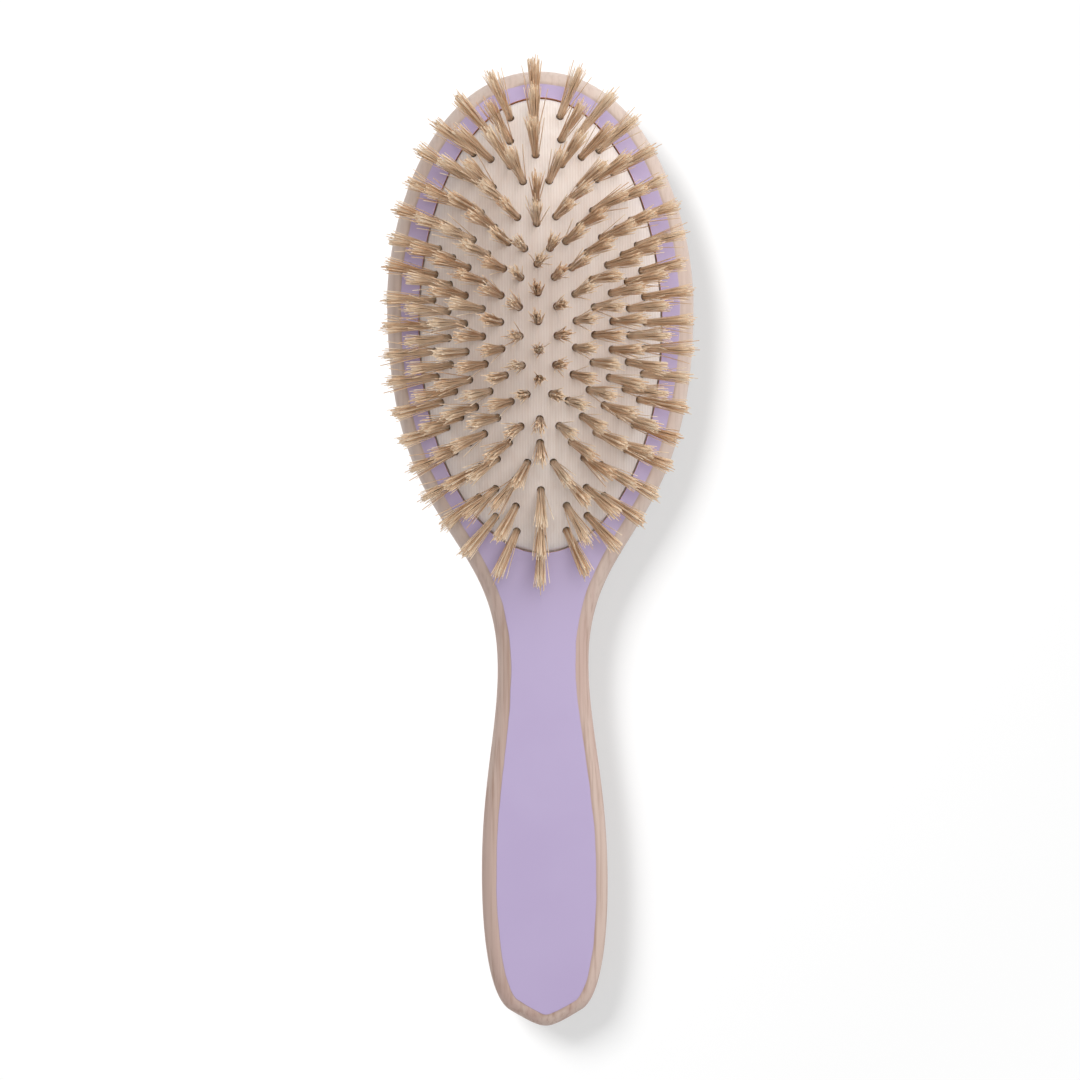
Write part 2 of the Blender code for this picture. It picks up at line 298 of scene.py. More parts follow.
# %% [markdown]
# The brush is lit from the upper right, which is what its bright right edge and its dark left one
# show, and more weakly from overhead, which opens up the shade between the tufts. The photograph's
# soft grey shadow falls to the right all the same, and one lamp can't do both. So the floor has a
# lamp of its own on the left, and each lamp is linked to what it should light. Once the board is
# made, it alone throws that lamp's shadow, because the tips of the tufts would make its edge
# ragged. The sky looks white, but lights the brush with much less.

# %% Lamps and the sky
SKY_STRENGTH = 0.33
KEY_PLACE = (0.68, 0.78, 0.8)
KEY_SIZE = 1.5
KEY_POWER = 12.1
OVERHEAD_PLACE = (0.1, 0.05, 1.2)
OVERHEAD_SIZE = 0.5
OVERHEAD_POWER = 5
SHADOW_PLACE = (-0.63, 0.55, 0.95)
SHADOW_SIZE = 0.5
SHADOW_POWER = 23
LAMP_AIM = Vector((0, -0.03, 0))

world = bpy.data.worlds.new("sky")
world.use_nodes = True
bpy.context.scene.world = world
sky = Tree(world.node_tree)
soft = sky.node("ShaderNodeBackground", sockets={"Color": grey(1), "Strength": SKY_STRENGTH})
white = sky.node("ShaderNodeBackground", sockets={"Color": grey(1), "Strength": 1})
shown = sky.node("ShaderNodeMixShader", sockets={0: seen_rays(sky), 1: soft, 2: white})
sky.feed(sky.nodes["World Output"], {"Surface": shown})


def soft_lamp(name, place, size, power, lights_floor):
    """A square lamp aimed at the brush, that lights either the floor alone or all but the floor."""
    start_fresh()
    aim = (LAMP_AIM - Vector(place)).to_track_quat("-Z", "Y").to_euler()
    bpy.ops.object.light_add(type="AREA", location=place, rotation=aim)
    lamp = bpy.context.object
    lamp.name = name
    lamp.data.size = size
    lamp.data.energy = power
    lit = bpy.data.collections.new(name + "_lights")
    lit.objects.link(floor)
    lit.collection_objects[0].light_linking.link_state = "INCLUDE" if lights_floor else "EXCLUDE"
    lamp.light_linking.receiver_collection = lit
    return lamp


soft_lamp("key_lamp", KEY_PLACE, KEY_SIZE, KEY_POWER, False)
soft_lamp("overhead_lamp", OVERHEAD_PLACE, OVERHEAD_SIZE, OVERHEAD_POWER, False)
shadow_lamp = soft_lamp("shadow_lamp", SHADOW_PLACE, SHADOW_SIZE, SHADOW_POWER, True)
print("three lamps and a sky of strength", SKY_STRENGTH)

# %% [markdown]
# Head and handle are one piece of wood, by the look of the grain. The board could be pushed and
# pulled out of a box, but its outline is all long sweeps, and a Bezier curve draws those with few
# numbers. So the outline is a flat curve with ten points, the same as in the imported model. Its
# bends are shares of the lengths and widths they follow.

# %% Sizes of the board
FRONT_ROUND = 0.0032
BACK_ROUND = 0.0042
NECK_WIDTH = 0.0218
GRIP_WIDTH = 0.0302
NECK_RUN = 0.02695
POCKET_LENGTH = 0.1088
POCKET_DEPTH = 0.009
SIDE_BORDER = 0.0077

board_low, board_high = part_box("wood_body")
thickness = board_high.z - board_low.z
head_half_width = board_high.x
head_tip = board_high.y
handle_end = board_low.y
pocket_half_width = head_half_width - SIDE_BORDER
pocket_half_length = POCKET_LENGTH / 2
neck_y = -(pocket_half_length + NECK_RUN)
print("board", round(1000 * (head_tip - handle_end)), "mm long and",
      round(1000 * thickness, 1), "mm thick")

# %% Outline of the board
WIDEST_SHARE = 0.093
TIP_HANDLE_SHARE = 0.706
HEAD_HANDLE_SHARE = 0.36
WAIST_HANDLE_SHARES = (0.65, 0.383)
GRIP_PLACE_SHARE = 0.589
GRIP_HANDLE_SHARES = (0.302, 0.45)
SHOULDER_SHARES = (0.57, 0.256)
SHOULDER_SLOPE_SHARES = (0.9, 0.545)
SHOULDER_HANDLE_SHARES = (0.462, 0.352, 0.363, 0.113)


def outline_knots():
    """Points of the outline with their handles, down the +X side from the head's tip."""
    neck = NECK_WIDTH / 2
    grip = GRIP_WIDTH / 2
    widest_y = WIDEST_SHARE * head_tip
    grip_y = neck_y + GRIP_PLACE_SHARE * (handle_end - neck_y)
    shoulder = Vector((SHOULDER_SHARES[0] * grip, handle_end + SHOULDER_SHARES[1] * grip))
    slope = Vector(SHOULDER_SLOPE_SHARES) * grip
    waist_run = widest_y - neck_y
    grip_run = neck_y - grip_y
    shoulder_run = grip_y - shoulder.y
    tip_reach = TIP_HANDLE_SHARE * head_half_width
    end_reach = SHOULDER_HANDLE_SHARES[3] * grip
    return (
        ((-tip_reach, head_tip), (0, head_tip), (tip_reach, head_tip)),
        ((head_half_width, widest_y + HEAD_HANDLE_SHARE * (head_tip - widest_y)),
         (head_half_width, widest_y),
         (head_half_width, widest_y - WAIST_HANDLE_SHARES[0] * waist_run)),
        ((neck, neck_y + WAIST_HANDLE_SHARES[1] * waist_run),
         (neck, neck_y),
         (neck, neck_y - GRIP_HANDLE_SHARES[0] * grip_run)),
        ((grip, grip_y + GRIP_HANDLE_SHARES[1] * grip_run),
         (grip, grip_y),
         (grip, grip_y - SHOULDER_HANDLE_SHARES[0] * shoulder_run)),
        (shoulder + SHOULDER_HANDLE_SHARES[1] * slope,
         shoulder,
         shoulder - SHOULDER_HANDLE_SHARES[2] * slope),
        ((end_reach, handle_end), (0, handle_end), (-end_reach, handle_end)),
    )


right_side = outline_knots()
print("points down one side:", len(right_side))

# %% [markdown]
# The curve becomes a ring of edges, the ring is filled, and the face is extruded to the board's
# thickness. The front edge of the real board is rounded by about 3 mm. The back isn't in the
# photograph, and its edge is taken to be rounded by a little more. A bevel does that in ten small
# steps. Two narrow insets inside each bevel give the finish points to measure at, where the
# lacquer's line runs.

# %% Draw the outline and make it a solid board
CURVE_STEPS = 36
TINY = 0.00002

left_side = []
for before, point, after in reversed(right_side[1:-1]):
    left_side.append(tuple((-x, y) for x, y in (after, point, before)))

start_fresh()
bpy.ops.curve.primitive_bezier_circle_add(radius=head_half_width)
board = bpy.context.object
board.name = "brush_board"
board.data.dimensions = "2D"
board.data.fill_mode = "NONE"
board.data.resolution_u = CURVE_STEPS
spline = board.data.splines[0]
knots = list(right_side) + left_side
spline.bezier_points.add(len(knots) - len(spline.bezier_points))
for knot, (before, point, after) in zip(spline.bezier_points, knots):
    knot.handle_left_type = "FREE"
    knot.handle_right_type = "FREE"
    knot.handle_left = (*before, 0)
    knot.co = (*point, 0)
    knot.handle_right = (*after, 0)
bpy.ops.object.convert(target="MESH")
outline = np.array([vert.co.xy for vert in board.data.vertices])
print("points on the outline:", len(outline))

bpy.ops.object.mode_set(mode="EDIT")
bpy.ops.mesh.select_all(action="SELECT")
bpy.ops.mesh.remove_doubles(threshold=TINY)
bpy.ops.mesh.edge_face_add()
bpy.ops.mesh.extrude_region_move(TRANSFORM_OT_translate={"value": (0, 0, thickness)})
bpy.ops.mesh.select_all(action="SELECT")
bpy.ops.mesh.normals_make_consistent(inside=False)


# %% Round over its edges
ROUND_STEPS = 10
FACE_RINGS = (0.0003, 0.0006)


def select_level(obj, height, kind):
    """In edit mode, select the edges, or the faces, that lie at one height."""
    bpy.ops.mesh.select_mode(type="EDGE" if kind == "edges" else "FACE")
    bpy.ops.mesh.select_all(action="DESELECT")
    bpy.ops.object.mode_set(mode="OBJECT")
    points = obj.data.vertices
    for part in (obj.data.edges if kind == "edges" else obj.data.polygons):
        part.select = all(abs(points[index].co.z - height) < TINY for index in part.vertices)
    bpy.ops.object.mode_set(mode="EDIT")


for height, radius in ((thickness, FRONT_ROUND), (0, BACK_ROUND)):
    select_level(board, height, "edges")
    bpy.ops.mesh.bevel(offset=radius, offset_type="OFFSET", segments=ROUND_STEPS, affect="EDGES")
    select_level(board, height, "faces")
    for width in FACE_RINGS:
        bpy.ops.mesh.inset(thickness=width)
start_fresh()
report(board)

# %% [markdown]
# The cushion sits in an oval pocket, which it hides. The pocket's depth, 9 mm, and the groove
# under its lip that grips the cushion's bead are guesses at how such a brush is built. The groove
# is undercut, so the pocket can't be pressed in from above. It is cut out, by a solid of the
# pocket's own shape and a Boolean. The cutter is a stack of ovals: a circle is stretched to the
# first oval, and each extrusion that follows is moved and stretched to the next one. The cushion
# is made the same way.


# %% A stack of ovals
def stack_ovals(name, levels, sides):
    """A closed shape through level ovals, each given by its half width, half length and height."""
    start_fresh()
    bpy.ops.mesh.primitive_circle_add(vertices=sides, radius=1, fill_type="NOTHING")
    shape = bpy.context.object
    shape.name = name
    bpy.ops.object.mode_set(mode="EDIT")
    bpy.ops.mesh.select_mode(type="EDGE")
    bpy.ops.mesh.select_all(action="SELECT")
    last = (1, 1, 0)
    for number, level in enumerate(levels):
        rise = (0, 0, level[2] - last[2])
        if number:
            bpy.ops.mesh.extrude_region_move(TRANSFORM_OT_translate={"value": rise})
        else:
            bpy.ops.transform.translate(value=rise)
        stretch = (level[0] / last[0], level[1] / last[1], 1)
        bpy.ops.transform.resize(value=stretch, center_override=(0, 0, level[2]))
        last = level
    bpy.ops.mesh.edge_face_add()
    bpy.ops.object.mode_set(mode="OBJECT")
    # The top is filled now. The first oval is still open, so it is selected by its numbers.
    for vert in shape.data.vertices:
        vert.select = vert.index < sides
    for edge in shape.data.edges:
        edge.select = all(index < sides for index in edge.vertices)
    for face in shape.data.polygons:
        face.select = False
    bpy.ops.object.mode_set(mode="EDIT")
    bpy.ops.mesh.select_mode(type="EDGE")
    bpy.ops.mesh.edge_face_add()
    bpy.ops.mesh.select_all(action="SELECT")
    bpy.ops.mesh.normals_make_consistent(inside=False)
    bpy.ops.object.mode_set(mode="OBJECT")
    return shape


# %% Cut the pocket
FACE_LIP = 0.0022
GROOVE_HEIGHT = 0.0018
GROOVE_DEPTH = 0.0015
POCKET_SIDES = 160
LIP_SOFTENING = 0.0001
CUT_OVERRUN = 0.002
SMOOTH_ANGLE = math.radians(35)


def cut_away(obj, cutter):
    """Cut the cutter's shape out of the object, and remove the cutter."""
    pick(obj)
    bpy.ops.object.modifier_add(type="BOOLEAN")
    cut = obj.modifiers[-1]
    cut.operation = "DIFFERENCE"
    cut.solver = "EXACT"
    cut.object = cutter
    bpy.ops.object.modifier_apply(modifier=cut.name)
    bpy.data.objects.remove(cutter)


lip_under = thickness - FACE_LIP
groove_low = lip_under - GROOVE_HEIGHT
wall_size = (pocket_half_width, pocket_half_length)
groove_size = (pocket_half_width + GROOVE_DEPTH, pocket_half_length + GROOVE_DEPTH)
mouth_size = (pocket_half_width + LIP_SOFTENING, pocket_half_length + LIP_SOFTENING)
pocket = stack_ovals("pocket_cutter", (
    (*wall_size, thickness - POCKET_DEPTH),
    (*wall_size, groove_low),
    (*groove_size, groove_low),
    (*groove_size, lip_under),
    (*wall_size, lip_under),
    (*wall_size, thickness - LIP_SOFTENING),
    (*mouth_size, thickness),
    (*mouth_size, thickness + CUT_OVERRUN),
), POCKET_SIDES)
cut_away(board, pocket)
pick(board)
bpy.ops.object.shade_smooth_by_angle(angle=SMOOTH_ANGLE)
report(board)

# %% [markdown]
# The lacquer covers the flat front, and is taken to cover the back too. It stops about where the
# edge starts to round, along a line as uneven as if a hand had drawn it. It could be a painted
# image, but a line that follows the outline is easier to give by a measure. So the mesh carries
# two numbers at each point for the finish to read: how far it lies in from the outline, and
# whether it is inside the pocket, which is bare.


# %% Measure the board for its finish
LEAST_SQUARE = 1e-18


def distance_in(points, ring):
    """Distance of each point from a closed ring of points, seen from above.

    A side of no length, at a doubled point, counts as a tiny one.
    """
    along = np.roll(ring, -1, axis=0) - ring
    squares = np.maximum((along ** 2).sum(1), LEAST_SQUARE)
    nearest = np.full(len(points), np.inf)
    for corner, way, squared in zip(ring, along, squares):
        offset = points - corner
        share = np.clip(offset @ way / squared, 0, 1)
        gap = offset - share[:, None] * way
        nearest = np.minimum(nearest, np.hypot(gap[:, 0], gap[:, 1]))
    return nearest


def set_numbers(obj, name, numbers):
    """Store one number for each point of the mesh."""
    attribute = obj.data.attributes.new(name, "FLOAT", "POINT")
    attribute.data.foreach_set("value", np.asarray(numbers, np.float32))


def mesh_points(obj):
    """The places of the mesh's points, as rows of x, y and z."""
    points = np.empty(len(obj.data.vertices) * 3, np.float32)
    obj.data.vertices.foreach_get("co", points)
    return points.reshape(-1, 3).astype(float)


board_points = mesh_points(board)
pocket_reach = np.hypot(board_points[:, 0] / (pocket_half_width + 2 * GROOVE_DEPTH),
                        board_points[:, 1] / (pocket_half_length + 2 * GROOVE_DEPTH))
below_face = board_points[:, 2] < thickness - LIP_SOFTENING / 2
above_back = board_points[:, 2] > TINY
in_pocket = (pocket_reach < 1) & below_face & above_back
set_numbers(board, "inward", distance_in(board_points[:, :2], outline))
set_numbers(board, "in_pocket", in_pocket)
print("points in the pocket:", int(in_pocket.sum()))

# %% [markdown]
# Bare wood has streaks along its grain, wider bands and fine flecks. A photograph of wood could be
# wrapped round the board, but it would stretch at the rounded edge. Noise that is drawn out along
# the board runs through the solid, as real grain does. The edge of the head is painted paler than
# the handle, as painted light that makes up for the shade of the tufts, and inside the pocket the
# wood is a warmer brown. The lacquer is smoother than the wood and hides its grain, and a thin
# brown stain follows its line. The line wobbles a little. It sits half a millimetre to the right
# on the handle, and a touch further in on the head.

# %% Wood and lacquer
PAINT_LINE = 0.0032
PAINT_BLUR = 0.00012
PAINT_WOBBLE = 0.0005
STAIN_WIDTH = 0.0009
STAIN_SHARE = 0.45
HANDLE_PAINT_SHIFT = 0.032
SHIFT_START = -0.012
SHIFT_END = 0.03
HEAD_PAINT_INSET = 0.0003
HEAD_PAINTED_LIGHT = 0.5
STREAK_SHARE = 0.65
FLECK_SHARE = 0.25
PAINT_THICKNESS = 0.00008
FINE_GRAIN_SHARE = 0.4
GRAIN_DEPTH_SHARE = 0.5
GRAIN_FILLED_SHARE = 0.85
BARE_ROUGHNESS = 0.56
LACQUER_ROUGHNESS = 0.42

wood = Finish("wood_and_lilac_lacquer")
x, y, z = wood.axes()
streaks = wood.noise(scale=1100, stretch=(1, 0.016, 1), detail=3, roughness=0.55)
bands = wood.noise(scale=260, stretch=(1, 0.03, 1), detail=2)
fine = wood.noise(scale=3200, stretch=(1, 0.01, 1), detail=2)
pale = wood.mix(bands.step(0.38, 0.62), colour(196, 168, 157), colour(206, 183, 171))
brown = wood.mix(streaks.step(0.42, 0.75) * STREAK_SHARE, pale, colour(160, 126, 108))
flecked = wood.mix(fine.step(0.58, 0.8) * FLECK_SHARE, brown, colour(150, 118, 101))
on_head = y.step(neck_y, neck_y / 2)
# Painted light: the bare wood of the head is mixed towards a paler colour, against the tufts'
# shade.
bare = wood.mix(on_head * HEAD_PAINTED_LIGHT, flecked, colour(220, 205, 194))
cloud = wood.noise(scale=45, detail=3)
lilac = wood.mix(cloud.step(0.3, 0.7), colour(181, 163, 202), colour(184, 167, 205))
wobble = (wood.noise(scale=140, detail=2) - 0.5) * PAINT_WOBBLE
on_front = z.step(thickness / 2, thickness / 2 + TINY)
on_handle = (y * -1).step(SHIFT_START - neck_y, SHIFT_END - neck_y) * on_front
drawn = wood.attribute("inward") + wobble + x * on_handle * HANDLE_PAINT_SHIFT - (
    on_head * on_front * HEAD_PAINT_INSET) - (1 - on_front) * (BACK_ROUND - FRONT_ROUND)
painted = drawn.step(PAINT_LINE - PAINT_BLUR, PAINT_LINE + PAINT_BLUR)
stain = drawn.step(PAINT_LINE - STAIN_WIDTH, PAINT_LINE) * bands.step(0.4, 0.6) * STAIN_SHARE
outside = wood.mix(painted, wood.mix(stain, bare, colour(142, 106, 86)), lilac)
hollow = wood.attribute("in_pocket").step(0.4, 0.6)
base = wood.mix(hollow, outside, colour(226, 158, 104))
open_grain = streaks * (1 - FINE_GRAIN_SHARE) + fine * FINE_GRAIN_SHARE
grain = open_grain * (1 - painted * GRAIN_FILLED_SHARE)
wood.feed(wood.shader, {
    "Base Color": base,
    "Roughness": BARE_ROUGHNESS - painted * (BARE_ROUGHNESS - LACQUER_ROUGHNESS),
    "Normal": wood.bump(grain * GRAIN_DEPTH_SHARE + painted, PAINT_THICKNESS),
})
print("nodes in the wood's finish:", len(wood.nodes))

# %% Dress the board
board.data.materials.clear()
board.data.materials.append(wood.material)
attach(board, "handle_and_head")
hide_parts("wood_body")
shadow_casters = bpy.data.collections.new("shadow_casters")
shadow_casters.objects.link(board)
shadow_lamp.light_linking.blocker_collection = shadow_casters

# %% [markdown]
# The cushion is one moulded sheet of cream rubber that rises in a crown over the pocket and shuts
# the air in. Its thickness, 1.5 mm, is a guess. Its section across the head is an arc. Along the
# head it has a short ridge, from which nested ovals spread to the rim, and the tufts stand in a
# line on the ridge and in six of those ovals. A squashed sphere would be quicker, but its rings
# would lie otherwise than the rows of tufts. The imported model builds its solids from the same
# ovals.

# %% Crown of the cushion
CROWN_HEIGHT = 0.0112
RIDGE_LENGTH = 0.035
SHOULDER_MARGIN = 0.0007
RUBBER = 0.0015
RIM_GAP = 0.0004
FIT_GAP = 0.0003
ROW_MARGIN = 0.00345
ROW_TUFTS = (14, 20, 24, 28, 34, 40)
ROW_START_SHARES = (0, 0, 0.5, 0, 0, 0)

rim_half_width = pocket_half_width - RIM_GAP
rim_half_length = pocket_half_length - RIM_GAP
crown_radius = (rim_half_width ** 2 + CROWN_HEIGHT ** 2) / (2 * CROWN_HEIGHT)
rim_lean = math.asin(rim_half_width / crown_radius)
outer_row_share = math.asin((rim_half_width - ROW_MARGIN) / crown_radius) / rim_lean
row_pitch_share = outer_row_share / len(ROW_TUFTS)
rows_end_share = outer_row_share + row_pitch_share / 2


def crown_oval(share, depth=0.0):
    """Half width, half length and height of an oval of the crown, from its ridge, 0, to its rim, 1.

    The depth goes square into the crown. Past the rows the crown's ends drop in a steep shoulder.
    """
    lean = share * rim_lean
    half_width = (crown_radius - depth) * math.sin(lean)
    ridge = RIDGE_LENGTH / 2
    rows_end = rim_half_length - SHOULDER_MARGIN
    if share < rows_end_share:
        half_length = ridge + (rows_end - ridge) * share / rows_end_share
    else:
        half_length = rows_end + SHOULDER_MARGIN * (share - rows_end_share) / (1 - rows_end_share)
    half_length -= depth * math.sin(lean)
    height = (crown_radius - depth) * math.cos(lean) - crown_radius * math.cos(rim_lean)
    return half_width, half_length, thickness + height


print("crown radius", round(1000 * crown_radius, 1), "mm, with a lean at the rim of",
      round(math.degrees(rim_lean), 1), "degrees")

# %% Model the cushion
CUSHION_SIDES = 192
CUSHION_ROWS = 30
INNER_ROWS = 8
RIDGE_SHARE = 0.015

bead_top = lip_under - FIT_GAP
bead_bottom = groove_low + FIT_GAP
bead_reach = RIM_GAP + GROOVE_DEPTH - FIT_GAP
inner_size = (rim_half_width - RUBBER, rim_half_length - RUBBER)
bead_size = (rim_half_width + bead_reach, rim_half_length + bead_reach)
levels = []
for number in range(INNER_ROWS):
    share = RIDGE_SHARE + (rows_end_share - RIDGE_SHARE) * number / (INNER_ROWS - 1)
    levels.append(crown_oval(share, RUBBER))
levels += [
    (*inner_size, bead_top),
    (*inner_size, bead_bottom),
    (*bead_size, bead_bottom),
    (*bead_size, bead_top),
    (rim_half_width, rim_half_length, bead_top),
]
for number in range(CUSHION_ROWS):
    levels.append(crown_oval(1 - (1 - RIDGE_SHARE) * number / (CUSHION_ROWS - 1)))
cushion = stack_ovals("cushion_skin", levels, CUSHION_SIDES)
report(cushion)

# %% [markdown]
# On the real pad the tufts stand in rows, evenly spaced. Equal steps of an angle would crowd them
# at the ends of an oval, so they are spaced by the length walked along it, starting at the head's
# tip, and each stands square to the crown at its foot. One list holds every tuft's place, as a
# matrix whose Z axis runs up the tuft, and the holes and the tufts both use it. The photographed
# pad sits half a degree and half a millimetre askew, and its tufts lean a little towards the
# handle. In the half near the tip they lean less the nearer they stand to the middle line.

# %% Places of the tufts
CENTRE_TUFTS = 5
CENTRE_SPREAD_SHARE = 0.77
SPACING_STEPS = 40
PAD_TURN = math.radians(0.45)
PAD_SHIFT = -0.0005
LEAN_TO_HANDLE = math.radians(4)


def even_angles(share, count, start_share):
    """Angles that space points evenly along an oval of the crown, from its end at +Y."""
    half_width, half_length, _ = crown_oval(share)
    steps = SPACING_STEPS * count
    turns = math.pi / 2 + (np.arange(steps) + 0.5) * 2 * math.pi / steps
    strides = np.hypot(half_width * np.sin(turns), half_length * np.cos(turns))
    run = np.concatenate(([0], np.cumsum(strides)))
    targets = run[-1] * (np.arange(count) + start_share) / count
    return math.pi / 2 + np.interp(targets, run, np.arange(steps + 1)) * 2 * math.pi / steps


def row_places(row):
    """A matrix for each tuft of one oval row."""
    share = (row + 1) * row_pitch_share
    lean = share * rim_lean
    half_width, half_length, height = crown_oval(share)
    places = []
    for angle in even_angles(share, ROW_TUFTS[row], ROW_START_SHARES[row]):
        across, along = math.cos(angle), math.sin(angle)
        outward = Vector((across * half_length, along * half_width, 0)).normalized()
        way = outward * math.sin(lean) + Vector((0, 0, math.cos(lean)))
        foot = Vector((half_width * across, half_length * along, height))
        places.append(Matrix.Translation(foot) @ way.to_track_quat("Z", "Y").to_matrix().to_4x4())
    return places


centre_places = []
for number in range(CENTRE_TUFTS):
    y_share = CENTRE_SPREAD_SHARE * (2 * number / (CENTRE_TUFTS - 1) - 1)
    centre_places.append(Matrix.Translation((0, y_share * RIDGE_LENGTH / 2, crown_oval(0)[2])))
askew = Matrix.Translation((PAD_SHIFT, 0, 0)) @ Matrix.Rotation(PAD_TURN, 4, "Z")
rows = [centre_places] + [row_places(row) for row in range(len(ROW_TUFTS))]
for row_number, row in enumerate(rows):
    inner = 1 - row_number / len(ROW_TUFTS)
    for number, place in enumerate(row):
        near_tip = min(max(0.5 + 2 * place.translation.y / RIDGE_LENGTH, 0), 1)
        tilt = Matrix.Rotation(LEAN_TO_HANDLE * (1 - inner * near_tip), 4, "X")
        foot = Matrix.Translation(place.translation)
        row[number] = askew @ foot @ tilt @ foot.inverted() @ place
print("tufts in each row, from the middle:", [len(row) for row in rows])

# %% [markdown]
# In the real rubber each tuft comes up through a hole that is a little wider than its foot. A dark
# spot could pass for a hole from straight above, but not at a slant, so the holes are cut. One
# small cylinder is copied to every place, and the copies are cut away together, which is much
# quicker than one cut for each. The points in the holes are then marked, so that the finish can
# give them painted shade.

# %% Cut a hole for each tuft
HOLE_WIDTH = 0.0019
HOLE_SIDES = 16
HOLE_DEPTH = 0.004


def copy_of(obj, place):
    """A copy with its own mesh, put in place by a matrix."""
    twin = obj.copy()
    twin.data = obj.data.copy()
    bpy.context.collection.objects.link(twin)
    twin.matrix_world = place
    return twin


def join(objects, name):
    """Join objects into the first one, with its place in its mesh."""
    start_fresh()
    for obj in objects:
        obj.select_set(True)
    bpy.context.view_layer.objects.active = objects[0]
    bpy.ops.object.join()
    whole = bpy.context.object
    whole.name = name
    settle(whole)
    return whole


start_fresh()
bpy.ops.mesh.primitive_cylinder_add(vertices=HOLE_SIDES, radius=HOLE_WIDTH / 2, depth=HOLE_DEPTH)
punch = bpy.context.object
punch.name = "hole_punch"
punches = [copy_of(punch, place) for row in rows for place in row]
bpy.data.objects.remove(punch)
cut_away(cushion, join(punches, "hole_punches"))
pick(cushion)
bpy.ops.object.shade_smooth_by_angle(angle=SMOOTH_ANGLE)

# %% Mark the points inside the holes
cushion_points = mesh_points(cushion)
in_hole = np.zeros(len(cushion_points), bool)
for place in itertools.chain(*rows):
    foot, turn = np.array(place.translation), np.array(place.to_3x3())
    local = (cushion_points - foot) @ turn
    off_axis = np.hypot(local[:, 0], local[:, 1])
    in_hole |= (off_axis < HOLE_WIDTH / 2 + TINY) & (local[:, 2] < -RUBBER / 2)
set_numbers(cushion, "in_hole", in_hole)
report(cushion)

# %% [markdown]
# The rubber is cream and matt, with fine ribs and threads that run lengthwise. Its holes get
# painted shade, a dark brown. The ribs are too fine to be worth modelling, so a sine wave across
# the head gives them as a slight bump and a slight tone, and drawn-out noise gives the threads.
#
# When the pad is pressed, the middle of the cushion sinks with the tufts while its rim stays in
# the groove.

# %% Cream rubber
RIB_PITCH = 0.00065
RIB_HEIGHT = 0.00003
RIB_SHARE = 0.16
THREAD_SHARE = 0.22
THREAD_HEIGHT_SHARE = 0.3
RUBBER_ROUGHNESS = 0.52
WORN_ROUGHNESS = 0.16

rubber = Finish("cream_rubber")
x = rubber.axes()[0]
ribs = (x * (2 * math.pi / RIB_PITCH)).math("SINE") * 0.5 + 0.5
worn = rubber.noise(scale=70, detail=3)
threads = rubber.noise(scale=900, stretch=(1, 0.03, 1), detail=2)
cream = rubber.mix(worn.step(0.35, 0.65), colour(236, 225, 218), colour(243, 234, 228))
lined = rubber.mix(threads.step(0.45, 0.75) * THREAD_SHARE, cream, colour(217, 197, 184))
ribbed = rubber.mix(ribs * RIB_SHARE, lined, colour(200, 178, 164))
# Painted shade: the rubber inside the holes is coloured dark brown.
hole_shade = rubber.attribute("in_hole").step(0.05, 0.3)
rubber.feed(rubber.shader, {
    "Base Color": rubber.mix(hole_shade, ribbed, colour(112, 78, 61)),
    "Roughness": RUBBER_ROUGHNESS + worn * WORN_ROUGHNESS,
    "Normal": rubber.bump(ribs + threads * THREAD_HEIGHT_SHARE, RIB_HEIGHT),
})
print("nodes in the rubber's finish:", len(rubber.nodes))

# %% Dress the cushion
cushion.data.materials.clear()
cushion.data.materials.append(rubber.material)
outer_foot = crown_oval(outer_row_share)[2]
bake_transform(cushion)
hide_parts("cushion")

# %% [markdown]
# A tuft is a bunch of boar bristles set in one hole, some fifty by the look of it. Each bristle
# tapers and bends a little. Blender's hair could grow them, but the exported model takes only
# meshes. So one bristle is modelled for each of three bends, with few faces because there are
# thousands. Its mesh carries two numbers for the finish: how far up the bristle a point lies, and
# the bristle's own tone.

# %% Model a bristle for each bend
TUFT_LENGTH = 0.0178
ROOT_DEPTH = 0.0012
HAIR_WIDTH = 0.0003
HAIR_TIP_SHARE = 0.7
HAIR_SIDES = 3
HAIR_PARTS = 4
HAIR_BENDS = (0.0001, 0.0004, 0.0008)


def model_bristle(bend):
    """A bristle that starts below its hole and bends over by this much at its tip."""
    start_fresh()
    bpy.ops.mesh.primitive_circle_add(vertices=HAIR_SIDES, radius=HAIR_WIDTH / 2, fill_type="NGON",
                                      location=(0, 0, -ROOT_DEPTH))
    hair = bpy.context.object
    settle(hair)
    bpy.ops.object.mode_set(mode="EDIT")
    bpy.ops.mesh.select_all(action="SELECT")
    part = (TUFT_LENGTH + ROOT_DEPTH) / HAIR_PARTS
    narrow = HAIR_TIP_SHARE ** (1 / HAIR_PARTS)
    for number in range(HAIR_PARTS):
        aside = bend * (2 * number + 1) / HAIR_PARTS ** 2
        bpy.ops.mesh.extrude_region_move(TRANSFORM_OT_translate={"value": (aside, 0, part)})
        middle = (bend * (number + 1) ** 2 / HAIR_PARTS ** 2, 0, (number + 1) * part - ROOT_DEPTH)
        bpy.ops.transform.resize(value=(narrow, narrow, 1), center_override=middle)
    bpy.ops.mesh.select_all(action="SELECT")
    bpy.ops.mesh.normals_make_consistent(inside=False)
    bpy.ops.object.mode_set(mode="OBJECT")
    bpy.ops.object.shade_smooth()
    set_numbers(hair, "up_bristle", mesh_points(hair)[:, 2] / TUFT_LENGTH)
    set_numbers(hair, "tone", np.zeros(len(hair.data.vertices)))
    return hair


hairs = [model_bristle(bend) for bend in HAIR_BENDS]
report(hairs[0])

# %% [markdown]
# In a real tuft the bristles stand upright in the middle and lean out more towards the edge, a few
# go astray, and their ends are uneven. A grid of bristles would look made, so the 44 of a tuft
# follow a spiral, as the seeds of a sunflower do, which fills the round hole evenly. A seeded
# chance varies the lean, the length and the tone of each, so that every run makes the same tufts.

